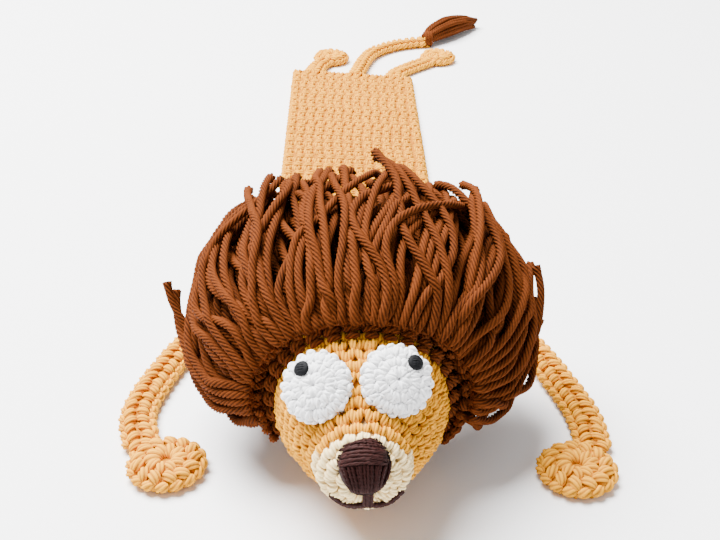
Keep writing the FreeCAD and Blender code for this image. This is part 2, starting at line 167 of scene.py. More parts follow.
def yarn(piece, path, radius, plies=5, pitch=6.5, depth=0.22, per_ply=3, up=None, cap=0.35):
    """A plied yarn along path. radius is one number or one per place.

    A ply goes once round in pitch, the other way where pitch is negative. The grooves between plies are
    depth of the radius deep, and every ply has per_ply vertices in a section."""
    path = np.asarray(path, float)
    n = len(path)
    radius = np.broadcast_to(np.asarray(radius, float), (n,))
    along = unit(np.gradient(path, axis=0))
    steps = np.linalg.norm(np.diff(path, axis=0), axis=1)
    s = np.concatenate([[0], np.cumsum(steps)])
    side = np.empty_like(path)
    first = np.asarray(up if up is not None else (UP if abs(along[0][2]) < 0.9 else [1.0, 0, 0]), float)
    for i in range(n):
        base = first if i == 0 else side[i - 1]
        side[i] = unit(base - along[i] * (base @ along[i]))
    cross = np.cross(along, side)
    m = plies * per_ply
    ring = TAU * np.arange(m) / m
    dip = np.where(np.arange(m) % per_ply == 0, 1.0, 0.0)
    angle = ring[None, :] + (rng.uniform(0, TAU) - TAU * s / pitch)[:, None]
    r = radius[:, None] * (1 - depth * dip)[None, :]
    verts = (path[:, None, :] + (r * np.cos(angle))[..., None] * side[:, None, :]
             + (r * np.sin(angle))[..., None] * cross[:, None, :])
    caps = np.stack([path[0] - along[0] * radius[0] * cap, path[-1] + along[-1] * radius[-1] * cap])
    shift = rng.uniform(0, 60)
    fibre = np.stack([np.broadcast_to(np.cos(ring) * plies * 0.9, (n, m)),
                      np.broadcast_to(np.sin(ring) * plies * 0.9, (n, m)),
                      np.broadcast_to(s[:, None] * 0.35 + shift, (n, m))], -1)
    # painted shade mask: 1 on the vertices in the grooves between plies and a half at the end caps, darkened
    # in the material as shade
    groove = np.broadcast_to(dip, (n, m))
    j = np.arange(m)
    k = (j + 1) % m
    head = np.stack([np.full(m, n * m), k, j], -1)
    foot = np.stack([np.full(m, n * m + 1), (n - 1) * m + j, (n - 1) * m + k], -1)
    piece.add(np.concatenate([verts.reshape(-1, 3), caps]), grid_faces(n, m)[:, ::-1],
              np.concatenate([head, foot])[:, ::-1],
              np.concatenate([fibre.reshape(-1, 3), fibre[[0, -1], 0]]),
              np.concatenate([groove.ravel(), [0.5, 0.5]]), rng.uniform(0, 1))


INNER_PAINTED_SHADE, INNER_FIBRE = 0.95, 1.6      # how much painted shade an inner surface gets, and how fine its fibres are
LEG_T = np.linspace(0, 1, 7)
LEG_SHAPE = 1 - 0.62 * np.abs(2 * LEG_T - 1) ** 3.0      # slim where a stitch dives into the fabric


def leg(piece, a, b, out, radius, arch=0.35, **look):
    """One plump leg of a stitch from a to b, arched away from the fabric."""
    a, b, out = (np.asarray(v, float) for v in (a, b, out))
    t = LEG_T[:, None]
    path = a + (b - a) * t + out * (arch * np.sin(math.pi * t))
    look = {"plies": 5, "pitch": 13.0, "depth": 0.26, **look}
    yarn(piece, path, radius * LEG_SHAPE, up=out, **look)


def loft(piece, rings):
    """A closed surface through rings of places, its ends closed at their middles, with painted shade as for
    deep fabric in shadow.
    """
    rings = np.asarray(rings, float)
    n, m = rings.shape[:2]
    verts = np.concatenate([rings.reshape(-1, 3), rings[0].mean(0)[None], rings[-1].mean(0)[None]])
    j = np.arange(m)
    k = (j + 1) % m
    caps = np.concatenate([np.stack([np.full(m, n * m), k, j], -1),
                           np.stack([np.full(m, n * m + 1), (n - 1) * m + j, (n - 1) * m + k], -1)])
    # painted shade over the whole inner surface, for the shadow in the gaps between stitches
    piece.add(verts, grid_faces(n, m), caps, verts * INNER_FIBRE, np.full(len(verts), INNER_PAINTED_SHADE), 0.5)


# ---- yarn materials ----
FIBRE_SCALE, PATCH_SCALE = 2.6, 140.0
FIBRE_BUMP, FIBRE_HEIGHT = 0.55, 0.00012      # strength, and height in metres


def yarn_material(name, colour, painted_shade_and_tone, rough=0.82, sheen=0.3, gloss=0.25, swing=0.16, painted_shade_amount=0.62):
    """Cotton yarn: fibres along the plies, and a little different from place to place.

    The grooves and inner surfaces get painted shade: they go a given share of the way from the yarn's colour
    to the second colour, a painted shade colour, and swing is how much the rest varies at random, also
    towards that colour."""
    mat = bpy.data.materials.new("yarn_" + name)
    mat.use_nodes = True
    nodes, links = mat.node_tree.nodes, mat.node_tree.links
    nodes.clear()
    out = nodes.new("ShaderNodeOutputMaterial")
    skin = nodes.new("ShaderNodeBsdfPrincipled")
    links.new(skin.outputs[0], out.inputs[0])
    skin.inputs["Roughness"].default_value = rough
    skin.inputs["Specular IOR Level"].default_value = gloss
    skin.inputs["Sheen Weight"].default_value = sheen
    skin.inputs["Sheen Roughness"].default_value = 0.45
    skin.inputs["Sheen Tint"].default_value = (*colour, 1)

    def attribute(key):
        node = nodes.new("ShaderNodeAttribute")
        node.attribute_name = key
        return node

    def maths(kind, a, b):
        node = nodes.new("ShaderNodeMath")
        node.operation = kind
        for i, value in enumerate((a, b)):
            if isinstance(value, (int, float)):
                node.inputs[i].default_value = value
            else:
                links.new(value, node.inputs[i])
        return node.outputs[0]

    def noise(vector, scale, detail):
        node = nodes.new("ShaderNodeTexNoise")
        node.inputs["Scale"].default_value = scale
        node.inputs["Detail"].default_value = detail
        links.new(vector, node.inputs["Vector"])
        return node.outputs[0]

    fibre = noise(attribute("fibre").outputs["Vector"], FIBRE_SCALE, 3.0)
    place = nodes.new("ShaderNodeTexCoord").outputs["Object"]
    patch = noise(place, PATCH_SCALE, 2.0)
    tint = attribute("tint").outputs["Fac"]

    def spread(value, amount):
        return maths("MULTIPLY", maths("SUBTRACT", value, 0.5), amount)

    shade = maths("ADD", spread(fibre, swing * 2.4), spread(patch, swing * 1.6))
    shade = maths("ADD", shade, spread(tint, swing))
    mix = nodes.new("ShaderNodeMix")
    mix.data_type = "RGBA"
    # A is the yarn's own colour; B is the painted shade colour, which random tone also darkens towards
    mix.inputs["A"].default_value = (*colour, 1)
    mix.inputs["B"].default_value = (*painted_shade_and_tone, 1)
    # painted shade: the mask times the painted shade share, with random tone taken off, is how far a place
    # goes towards B
    depth = maths("SUBTRACT", maths("MULTIPLY", attribute("groove").outputs["Fac"], painted_shade_amount), shade)
    clamp = nodes.new("ShaderNodeClamp")
    links.new(depth, clamp.inputs[0])
    links.new(clamp.outputs[0], mix.inputs["Factor"])
    links.new(mix.outputs["Result"], skin.inputs["Base Color"])
    relief = nodes.new("ShaderNodeBump")
    relief.inputs["Strength"].default_value = FIBRE_BUMP
    relief.inputs["Distance"].default_value = FIBRE_HEIGHT
    links.new(fibre, relief.inputs["Height"])
    links.new(relief.outputs[0], skin.inputs["Normal"])
    return mat


# the view transform pales strong colours, so the tan is more saturated here than the yarn is
# each yarn's second colour is the painted shade colour of its grooves and inner surfaces
TAN = yarn_material("tan_cotton", (0.78, 0.350, 0.014), (0.25, 0.068, 0.003),
                    sheen=0.03, gloss=0.05, painted_shade_amount=0.78)
CREAM = yarn_material("cream_cotton", (0.96, 0.76, 0.40), (0.58, 0.33, 0.10), sheen=0.08, gloss=0.1)
WHITE = yarn_material("white_cotton", (0.95, 0.95, 0.955), (0.74, 0.73, 0.75), swing=0.08)
BROWN = yarn_material("mane_cotton", (0.126, 0.0305, 0.0060), (0.009, 0.0018, 0.0004),
                      sheen=0.03, gloss=0.05, swing=0.24, painted_shade_amount=0.8)
THREAD = {"rough": 0.6, "sheen": 0.02, "gloss": 0.12}
BLACK = yarn_material("black_thread", (0.007, 0.0075, 0.009), (0.002, 0.002, 0.003), **THREAD)
NOSE = yarn_material("nose_thread", (0.034, 0.0078, 0.0062), (0.006, 0.0016, 0.0015), **THREAD)
WOOL = yarn_material("stuffing", (0.86, 0.86, 0.85), (0.6, 0.6, 0.6))


def finish_piece(piece, name, material, nodes, body=None, bend=None):
    """Makes the mesh, hides the CAD parts it takes the place of, and lets it ride on a body; one given a bend
    only has its placement baked into its mesh.
    """
    obj = piece.make(name, material)
    if bend:
        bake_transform(obj)
    else:
        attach(obj, body)
    if nodes:
        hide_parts(*nodes)
    return obj


# ---- head ----
def head_radius(y, inset=0.0):
    """Radius of the head's round at y: an egg with a blunt muzzle. inset gives a smaller one."""
    tip, back = SEAM_Y - MUZZLE_DEPTH + inset, HEAD_BACK_Y - inset
    if y <= SEAM_Y:
        share = (y - SEAM_Y) / (tip - SEAM_Y)
        return (SEAM_R - inset) * math.sqrt(max(0.0, 1 - share ** 2.4))
    if y <= HAIRLINE_Y:
        share = (y - SEAM_Y) / (HAIRLINE_Y - SEAM_Y)
        return SEAM_R - inset + (HAIRLINE_R - SEAM_R) * math.sin(share * math.pi / 2) ** 0.94
    middle = (HAIRLINE_Y + HEAD_BACK_Y) / 2 - 3
    if y <= middle:
        share = (y - HAIRLINE_Y) / (middle - HAIRLINE_Y)
        return HAIRLINE_R - inset + (HEAD_R - HAIRLINE_R) * math.sin(share * math.pi / 2)
    share = (y - middle) / (back - middle)
    return (HEAD_R - inset) * math.sqrt(max(0.0, 1 - share ** 2.6))


def head_table(inset=0.0):
    """The head's outline as arc length, y and radius from the muzzle's tip to the back."""
    tip, back = SEAM_Y - MUZZLE_DEPTH + inset, HEAD_BACK_Y - inset
    y = tip + (back - tip) * (1 - np.cos(np.linspace(0, math.pi, 900))) / 2
    r = np.array([head_radius(v, inset) for v in y])
    s = np.concatenate([[0], np.cumsum(np.hypot(np.diff(y), np.diff(r)))])
    return s, y, r


HEAD_S, HEAD_YS, HEAD_RS = head_table()
TOP_TAN = math.cos(math.radians(64))      # this near the top, the muzzle's last round is tan
SEAM_S = float(np.interp(SEAM_Y, HEAD_YS, HEAD_S))
HAIR_S = float(np.interp(HAIRLINE_Y, HEAD_YS, HEAD_S))
SLOPE_STEP = 0.4
HEAD_LINING = 1.25            # how far the surface under the stitches lies inside the head


def head_place(turn, s, lift=0.0):
    """The place at angle turn from the top, to +X, and arc length s from the tip; and the way out there."""
    near = [s - SLOPE_STEP, s + SLOPE_STEP]
    y0, y1 = np.interp(near, HEAD_S, HEAD_YS)
    r0, r1 = np.interp(near, HEAD_S, HEAD_RS)
    size = math.hypot(y1 - y0, r1 - r0)
    dy, dr = (y1 - y0) / size, (r1 - r0) / size
    out = np.array([math.sin(turn) * dy, -dr, math.cos(turn) * dy])
    y, r = np.interp(s, HEAD_S, HEAD_YS), np.interp(s, HEAD_S, HEAD_RS)
    return np.array([r * math.sin(turn), y, HEAD_Z + r * math.cos(turn)]) + out * lift, out


def revolve(piece, inset, s0, s1, count, lumps=0.0):
    """The head's inner surface between two arc lengths, closed at both ends."""
    rings = []
    turns = TAU * np.arange(48) / 48
    for s in np.linspace(s0, s1, count):
        place = [head_place(t, s, -inset + lumps * math.sin(5 * t + s)) for t in turns]
        rings.append([p[0] for p in place])
    loft(piece, rings)


ROUND_H, ROUND_STITCH = 2.55, 3.05      # a round's height and a stitch's width on the head


def head_rounds(piece, s0, s1, per_ply=2, changed=None):
    """Rounds of stitches on the head between two arc lengths. Worked in a spiral, they all lean one way.

    changed is a piece in another yarn that gets the last round's stitches near the top."""
    rounds = max(1, round((s1 - s0) / ROUND_H))
    height = (s1 - s0) / rounds
    for k in range(rounds):
        low = s0 + k * height
        r = float(np.interp(low + height * 0.5, HEAD_S, HEAD_RS))
        count = max(6, round(TAU * r / ROUND_STITCH))
        width = TAU / count
        thick = min(0.9, 0.29 * width * r)
        for i in range(count):
            turn = (i + 0.5 * (round(low / height) % 2) + rng.normal(0, 0.05)) * width
            size = rng.uniform(0.88, 1.08)
            top = changed and k == rounds - 1 and math.cos(turn) > TOP_TAN
            for lean in (-1, 1):
                slant = 0.12 + rng.normal(0, 0.06)
                foot, out = head_place(turn + lean * width * 0.04, max(0.2, low - height * 0.22), -0.95)
                high = low + height * (0.84 + rng.normal(0, 0.07))
                tip, _ = head_place(turn + width * (lean * 0.42 + slant), high, -0.74)
                leg(changed if top else piece, foot, tip, out, thick * size, 0.46 + rng.normal(0, 0.13),
                    per_ply=per_ply, pitch=6.5 * lean, depth=0.36)


def build_head():
    shell, muzzle = Piece(), Piece()
    revolve(shell, HEAD_LINING, SEAM_S, HEAD_S[-1] - 0.5, 40)
    covered = HAIR_S + 6.6            # from here on the mane hides the stitches, and they need less detail
    head_rounds(shell, SEAM_S, covered, per_ply=3)
    head_rounds(shell, covered, HEAD_S[-1] - 1.0)
    revolve(muzzle, HEAD_LINING, 0.3, SEAM_S + 0.4, 14)
    head_rounds(muzzle, 0.8, SEAM_S, per_ply=3, changed=shell)
    obj = finish_piece(shell, "head_shell_stitches", TAN, ["head_shell"], "head")
    finish_piece(muzzle, "muzzle_stitches", CREAM, ["muzzle"], "head")
    filling = Piece()
    revolve(filling, 3.4, 0.5, HEAD_S[-1] - 0.5, 30, lumps=0.25)
    finish_piece(filling, "stuffing_fibre", WOOL, ["head_stuffing"], "head")


# ---- face ----
EYES = {                       # y, degrees from the top to +X, the way it faces, pupil across and up
    "left": (-34.6, -35.4, (-0.28, -0.66, 0.68), (-2.2, 3.15)),
    "right": (-34.6, 25.2, (0.16, -0.70, 0.66), (3.15, 3.1)),
}


def eye_frame(side):
    y, turn, facing, _ = EYES[side]
    place, _ = head_place(math.radians(turn), float(np.interp(y, HEAD_YS, HEAD_S)), 0.9)
    facing = unit(np.array(facing, float))
    right = unit(np.array([1.0, 0, 0]) - facing * facing[0])
    return place, right, np.cross(facing, right), facing


def dome_place(origin, radius, height, reach, angle, lift=0.0):
    """A place on a dome of that radius and height, reach from its middle, and the way out there."""
    place, right, up, facing = origin
    share = min(0.985, reach / radius)
    high = height * math.sqrt(1 - share ** 2)
    flat = right * math.cos(angle) + up * math.sin(angle)
    slope = height * share / (radius * math.sqrt(1 - share ** 2))
    out = unit(facing + flat * slope)
    return place + flat * reach + facing * high + out * lift, out


def eye_base(piece, origin, down=1.6, scale=0.93):
    """The eye's inner surface, with sides that go down behind it."""
    angles = TAU * np.arange(36) / 36
    place, right, up, facing = origin
    low = [[place + (right * math.cos(a) + up * math.sin(a)) * EYE_R * share * scale - facing * down
            for a in angles] for share in (0.3, 0.85)]
    high = [[dome_place(origin, EYE_R, EYE_H, EYE_R * share * scale, a, -0.55)[0] for a in angles]
            for share in (0.98, 0.9, 0.75, 0.55, 0.3, 0.08)]
    loft(piece, low + high)


# from and to which reach, stitches, radius of a leg
EYE_ROUNDS = ((0.35, 2.5, 6, 0.72), (2.2, 4.5, 12, 0.72), (4.3, 6.75, 18, 0.74))
# share of the radius, height
PUPIL_RINGS = ((0.5, -0.5), (0.97, -0.2), (1.0, 0.1), (0.85, 0.36), (0.55, 0.5), (0.2, 0.56))


def build_eyes():
    for side in EYES:
        origin = eye_frame(side)
        eye = Piece()
        eye_base(eye, origin)
        for reach0, reach1, count, thick in EYE_ROUNDS:
            for i in range(count):
                for lean in (-1, 1):
                    width = TAU / count
                    angle = (i + rng.normal(0, 0.05)) * width + 0.4 * reach0
                    a, out = dome_place(origin, EYE_R, EYE_H, reach0, angle + lean * width * 0.10, -0.45)
                    b, _ = dome_place(origin, EYE_R, EYE_H, reach1, angle + lean * width * 0.27, -0.5)
                    leg(eye, a, b, out, thick * rng.uniform(0.85, 1.1), 0.38, pitch=9.0 * lean)
                angle += rng.normal(0, 0.15 * width)
                a, out = dome_place(origin, EYE_R, EYE_H, reach1 - 0.1, angle - width * 0.36, -0.35)
                rim = reach1 + rng.uniform(-0.5, 0.1)
                b, _ = dome_place(origin, EYE_R, EYE_H, rim, angle + width * 0.36, -0.35)
                leg(eye, a, b, out, rng.uniform(0.42, 0.6), 0.35, plies=4, pitch=7.0)
        for i in range(26):           # the last round turns over the edge
            angle = i * TAU / 26
            a, out = dome_place(origin, EYE_R, EYE_H, 6.7, angle, -0.75)
            b = a - origin[3] * 2.0 - unit(a - origin[0]) * 0.3
            leg(eye, a, b, unit(out + unit(a - origin[0])), 0.74, 0.15)
        finish_piece(eye, side + "_eye_stitches", WHITE, [side + "_eye"], "head")
        across, high = EYES[side][3]
        reach, angle = math.hypot(across, high), math.atan2(high, across)
        spot, out = dome_place(origin, EYE_R, EYE_H, reach, angle, 0.35)
        pupil = Piece()
        right = unit(origin[1] - out * (origin[1] @ out))
        up = np.cross(out, right)
        turns = TAU * np.arange(20) / 20
        loft(pupil, [[spot + (right * math.cos(a) + up * math.sin(a)) * PUPIL_R * share + out * height
                      for a in turns] for share, height in PUPIL_RINGS])
        for shift in (-1.1, -0.66, -0.22, 0.22, 0.66, 1.1):
            half = math.sqrt(PUPIL_R ** 2 - shift ** 2)
            a, b = (spot + up * shift + right * e * half - out * 0.1 for e in (-1, 1))
            leg(pupil, a, b, out, 0.3, 0.62 - 0.3 * shift ** 2, plies=3, pitch=4.0)
        finish_piece(pupil, side + "_pupil_thread", BLACK, [side + "_pupil"], "head")


NOSE_RX, NOSE_RY, NOSE_H = 4.9, 5.2, 3.3


def build_nose():
    place = np.array([0.0, SEAM_Y - 6.3, HEAD_Z + 3.6])
    facing = unit(np.array([0.0, -1.0, 0.7]))
    right = np.array([1.0, 0.0, 0.0])
    up = np.cross(facing, right)
    up = up if up[2] > 0 else -up

    def at(x, y, lift=0.0):
        share = min(0.97, abs(x / NOSE_RX) ** 2.4 + abs(y / NOSE_RY) ** (2.8 if y > 0 else 2.0))
        return place + right * x + up * y + facing * (NOSE_H * math.sqrt(1 - share) - 0.35 + lift)

    nose = Piece()
    angles = TAU * np.arange(32) / 32
    rings = [[place + right * math.cos(a) * NOSE_RX * 0.8 + up * math.sin(a) * NOSE_RY * 0.8 - facing * 1.4
              for a in angles]]
    for share in (0.94, 0.82, 0.6, 0.35, 0.08):
        rings.append([at(NOSE_RX * share * math.cos(a), NOSE_RY * share * math.sin(a), -0.2)
                      for a in angles])
    loft(nose, rings)

    def thread(x0, y0, x1, y1, lift, bow=(0.0, 0.0)):
        t = np.linspace(0, 1, 13)
        path = np.array([at(x0 + (x1 - x0) * q + bow[0] * math.sin(math.pi * q),
                            y0 + (y1 - y0) * q + bow[1] * math.sin(math.pi * q), lift) for q in t])
        path[[0, -1]] -= facing * 0.5
        radius = 0.40 * (1 - 0.35 * np.abs(2 * t - 1) ** 5)
        yarn(nose, path, radius, plies=3, pitch=3.4, depth=0.25, per_ply=2)

    for i in range(19):                 # upright stitches that fan out from the bottom
        x = (i - 9) / 9
        low = 0.62 * x + 0.10
        y_low = -math.sqrt(max(0.04, 1 - (low * 0.9) ** 2)) * NOSE_RY * 0.97
        y_top = 0.36 * NOSE_RY - 0.7 * x * x
        thread(low * NOSE_RX * 0.9, y_low, x * NOSE_RX * 0.985, y_top, rng.uniform(-0.1, 0.2),
               (rng.normal(0, 0.22) + 0.1 * x, 0.0))
    for i in range(13):                 # level stitches over the top, each a little askew
        y = 0.14 + 0.76 * i / 12
        half = (1 - y ** 3.2) ** 0.42 * NOSE_RX * 0.96
        tilt = rng.normal(0, 0.28)
        thread(-half, y * NOSE_RY - 0.5 - tilt, half, y * NOSE_RY - 0.5 + tilt, 0.34 - 0.15 * abs(y - 0.4),
               (0.0, rng.uniform(0.55, 1.0)))
    finish_piece(nose, "nose_satin", NOSE, ["nose"], "head")


def muzzle_at(x, up_, lift=0.0):
    """A place on the front of the muzzle, x across and up_ above the head's axis."""
    reach = min(0.985, math.hypot(x, up_) / SEAM_R)
    y = SEAM_Y - MUZZLE_DEPTH * (1 - reach ** 2) ** (1 / 2.4)
    out = unit(np.array([x * 0.09, -1.0, up_ * 0.09]))
    return np.array([x, y, HEAD_Z + up_]) + out * lift


def build_mouth():
    lip = Piece()
    for x in (-0.62, 0.0, 0.62):
        path = [muzzle_at(0.75 + x, 0.6 - 5.6 * t, 0.25 + 0.25 * (x == 0)) for t in np.linspace(0, 1, 12)]
        yarn(lip, path, 0.46, plies=3, pitch=3.6, depth=0.25)
    finish_piece(lip, "philtrum_thread", NOSE, ["philtrum"], "head")
    mouth = Piece()
    for sign, end in ((-1, 6.9), (1, 6.6)):
        route = ((0.4, -4.9), (2.4, -5.4), (4.6, -5.1), (end, -3.4))
        places = [muzzle_at(sign * x + 0.7, z, 0.15) for x, z in route]
        path = smooth_path(places, 18)
        yarn(mouth, path, 0.5 * (1 - 0.4 * np.linspace(0, 1, 18) ** 6), plies=3, pitch=3.4, depth=0.25)
        yarn(mouth, path + np.array([0, 0.25, -0.62]), 0.42, plies=3, pitch=3.4, depth=0.25)
    finish_piece(mouth, "mouth_thread", NOSE, ["mouth_line"], "head")


# ---- mane ----
MANE_F = [-0.03, 0.08, 0.32, 0.60, 0.89, 1.0]      # along the mane's outline: share of its length
MANE_G = [0.14, 0.56, 0.90, 1.00, 0.86, 0.50]      # and share of its reach
LOCKS = {
    "mane_top": (-24, 24), "mane_upper_left": (-58, -24), "mane_upper_right": (24, 58),
    "mane_left": (-86, -58), "mane_right": (58, 86),
    "mane_lower_left": (-150, -86), "mane_lower_right": (86, 150),
}
STRAND_N = 34
HAIRLINE_DEEP = 4.0           # rows that start within this of the hairline follow its dip
# strands that stand off the mane: degrees from the top, length, and how far the tip stands off
FLYAWAYS = [(-88, 0.65, 4.5), (-84, 0.62, 2.5), (-44, 0.84, 3.0), (-37, 0.88, 4.5), (-14, 0.86, 0.8),
            (-3, 0.90, 1.4), (5, 0.88, 1.6), (9, 0.86, 1.2), (24, 0.90, 3.0), (41, 0.88, 5.0),
            (46, 0.84, 4.0), (80, 0.66, 2.5), (89, 0.64, 4.5), (95, 0.62, 5.0), (103, 0.60, 3.5)]
DRAWN_N = 62                  # places in a strand as it is drawn; STRAND_N are enough to push it about
FRAY = 0.28 * np.maximum(0, np.linspace(0, 1, DRAWN_N) - 0.95) / 0.05      # a cut end spreads a little


def hairline_shift(turn):
    """How far the hairline lies from its plane at turn: it dips forward towards the eyes at the top."""
    return -3.0 * max(0.0, math.cos(math.radians(turn))) ** 2


def strand(turn0, row_y, layer, length, lean, flare):
    """One strand of the mane as places from its knot to its tip."""
    size = abs(turn0)
    sign = 1 if turn0 > 0 else -1
    reach = np.interp(size, [0, 50, 80, 105, 135], [16.8, 19.0, 18.6, 15.5, 9.0])
    back = np.interp(size, [0, 50, 80, 105, 135], [22, 24, 23, 19, 12])
    rise = np.interp(size, [0, 30, 60, 90, 110, 135], [0, 3, 16, 34, 44, 50])
    droop = np.interp(size, [0, 70, 85, 105, 120, 140], [0, 0, 12, 15, 8, 0]) * (0.35 + 0.65 * layer)
    if row_y < HAIRLINE_Y + HAIRLINE_DEEP:
        row_y += hairline_shift(turn0)
    t = np.linspace(0, length, STRAND_N)
    f = np.interp(t, np.linspace(0, 1, 6), MANE_F)
    g = np.interp(t, np.linspace(0, 1, 6), MANE_G)
    u = t / length
    y = row_y + (back - row_y) * f + rng.normal(0, 1.2) * np.sin(TAU * (u * 0.9 + rng.uniform())) * u
    root = float(np.interp(row_y, HEAD_YS, HEAD_RS)) + 0.9
    hair = min(HAIRLINE_R + 0.8, root + 4.0)
    r = root + (hair - root) * np.minimum(1, t * 3) + (reach - STRAND_R) * g * layer
    r = r + flare * np.maximum(0, u - 0.62) ** 1.5 * 4.0
    r = r + rng.normal(0, 1.1) * np.sin(TAU * (u * 1.3 + rng.uniform())) * u
    wave = rng.normal(0, 6.0) * np.sin(TAU * (u * rng.uniform(0.8, 1.3) + rng.uniform()))
    turn = (turn0 - sign * rise * t ** 1.3 + sign * droop * np.sin(math.pi * np.minimum(1, t * 1.5))
            + lean * u ** 1.2 + wave * np.minimum(1, u * 2.5))
    a = np.radians(turn)
    places = np.stack([MANE_WIDEN * r * np.sin(a), y, HEAD_Z + r * np.cos(a)], 1)
    for _ in range(5):
        places[1:-1] = 0.5 * places[1:-1] + 0.25 * (places[:-2] + places[2:])
    return places


def keep_clear(p):
    """Moves places out of the head, the floor and the strip."""
    y = np.clip(p[..., 1], HEAD_YS[0], HEAD_YS[-1])
    need = np.interp(y, HEAD_YS, HEAD_RS) + 1.25
    over = np.where(p[..., 1] > HEAD_BACK_Y + 1.5, 0.0, need)
    x, z = p[..., 0], p[..., 2] - HEAD_Z
    r = np.maximum(np.hypot(x, z), 1e-6)
    grow = np.maximum(1.0, over / r)
    p[..., 0], p[..., 2] = x * grow, z * grow + HEAD_Z
    floor = np.where((np.abs(p[..., 0]) < 26) & (p[..., 1] > 2), FABRIC + 1.6, 1.3)
    p[..., 2] = np.maximum(p[..., 2], floor)


def close_pairs(places, near):
    """Every ordered pair of places closer than near, found through cells of that size."""
    cell = np.floor(places / near).astype(np.int64)
    cell -= cell.min(0) - 1
    span = cell.max(0) + 2
    key = (cell[:, 0] * span[1] + cell[:, 1]) * span[2] + cell[:, 2]
    order = np.argsort(key, kind="stable")
    ranked = key[order]
    firsts, seconds = [], []
    for dx in (-1, 0, 1):
        for dy in (-1, 0, 1):
            for dz in (-1, 0, 1):
                wanted = key + (dx * span[1] + dy) * span[2] + dz
                low, high = np.searchsorted(ranked, wanted), np.searchsorted(ranked, wanted, "right")
                counts = high - low
                a = np.repeat(np.arange(len(places)), counts)
                step = np.arange(len(a)) - np.repeat(np.cumsum(counts) - counts, counts)
                b = order[np.repeat(low, counts) + step]
                firsts.append(a)
                seconds.append(b)
    a, b = np.concatenate(firsts), np.concatenate(seconds)
    close = ((places[a] - places[b]) ** 2).sum(1) < near ** 2
    return a[close], b[close]


def relax(strands, rounds):
    """Pushes strands apart until they lie beside each other, as real ones do."""
    p = np.array(strands)
    home = p.copy()
    count, n = p.shape[:2]
    owner = np.repeat(np.arange(count), n)
    near = 2 * STRAND_R * 0.94
    for step in range(rounds):
        flat = p.reshape(-1, 3)
        a, b = close_pairs(flat, near)
        other = owner[a] != owner[b]
        a, b = a[other], b[other]
        gap = flat[a] - flat[b]
        dist = np.sqrt((gap ** 2).sum(-1)) + 1e-6
        amount = np.maximum(0.0, near - dist) * 0.5 / dist
        push = np.stack([np.bincount(a, gap[:, k] * amount, len(flat)) for k in range(3)], 1)
        size = np.linalg.norm(push, axis=1, keepdims=True)
        push *= np.minimum(1, 0.7 / np.maximum(size, 1e-6))
        push = push.reshape(p.shape)
        push[:, 0] = 0
        push[:, 1] *= 0.4
        p += push
        p[:, 2:] += 0.04 * (home[:, 2:] - p[:, 2:])
        p[:, 1:-1] = 0.76 * p[:, 1:-1] + 0.12 * (p[:, :-2] + p[:, 2:])
        keep_clear(p)
    return p


# where each row of strands starts, strands in a full turn, layer, and the first and last turn from the top
MANE_ROWS = [(HAIRLINE_Y + 0.4, 60, 1.0, 0, 95), (HAIRLINE_Y + 0.9, 60, 0.87, 0, 97),
             (-18.0, 62, 0.74, 0, 102), (-14.0, 58, 0.60, 0, 108), (-9.5, 50, 0.46, 0, 112),
             (HAIRLINE_Y + 1.6, 54, 0.30, 0, 99),
             (HAIRLINE_Y + 3.0, 50, 0.14, 0, 104), (HAIRLINE_Y + 1.2, 72, 0.93, 70, 105),
             (-19.0, 64, 0.80, 70, 109), (-3.5, 44, 0.30, 0, 124), (0.6, 34, 0.22, 0, 128),
             (2.6, 20, 0.12, 0, 130), (HAIRLINE_Y + 0.8, 64, 0.26, 94, 126),
             (HAIRLINE_Y + 2.4, 60, 0.14, 98, 130)]
KNOT_ROWS = [("mane_knots_front", HAIRLINE_Y + 0.4, 125), ("mane_knots_middle", -16.0, 130),
             ("mane_knots_rear", -8.5, 130)]
KNOTS_ROUND = 30


def mane_plans():
    """What strand() needs for every strand. Neighbours in a clump lean the same way."""
    clump = rng.normal(0, 10.0, (len(MANE_ROWS), 60))
    plans = []
    for row, (y, count, layer, first, last) in enumerate(MANE_ROWS):
        for i in range(count):
            turn = -180 + 360.0 * (i + 0.5) / count + rng.normal(0, 1.2)
            if not first <= abs(turn) <= last:
                continue
            lean = (clump[row, int((turn + 180) / 14 + 0.5 * row)] + rng.normal(0, 4.5)
                    + np.interp(turn, [-100, -60, -30, 0, 25, 50, 100], [0, 4, 10, 6, -4, -2, 0]))
            length = rng.uniform(0.78, 1.03) if row < 2 else rng.uniform(0.72, 1.0)
            flare = rng.uniform(2.0, 5.0) if rng.uniform() < 0.13 else max(0.0, rng.normal(-0.6, 1.6))
            depth = layer * rng.uniform(0.88, 1.06)
            calm = float(np.clip((abs(turn) - 8) / 24, 0.25, 1.0))      # on top the strands lie closer
            plans.append((turn, y, depth, length, lean, flare * calm if row < 2 else 0.0))
    for turn, length, flare in FLYAWAYS:
        plans.append((turn, HAIRLINE_Y + 0.2, 1.0, length, rng.normal(0, 5.0), flare))
    return plans


def build_mane():
    plans = mane_plans()
    strands = [strand(*plan) for plan in plans]
    for places in strands:
        keep_clear(places)
    strands = relax(strands, 14)
    locks = {name: Piece() for name in LOCKS}
    for plan, places in zip(plans, strands):
        for name, (first, last) in LOCKS.items():
            if first <= plan[0] < last:
                path = respace(places, DRAWN_N)
                radius = STRAND_R * rng.uniform(0.92, 1.06) * (1 + FRAY)
                yarn(locks[name], path, radius, plies=6, pitch=7.6, depth=0.3, cap=0.05)
    for name, piece in locks.items():
        finish_piece(piece, name + "_strands", BROWN, [name], "head")


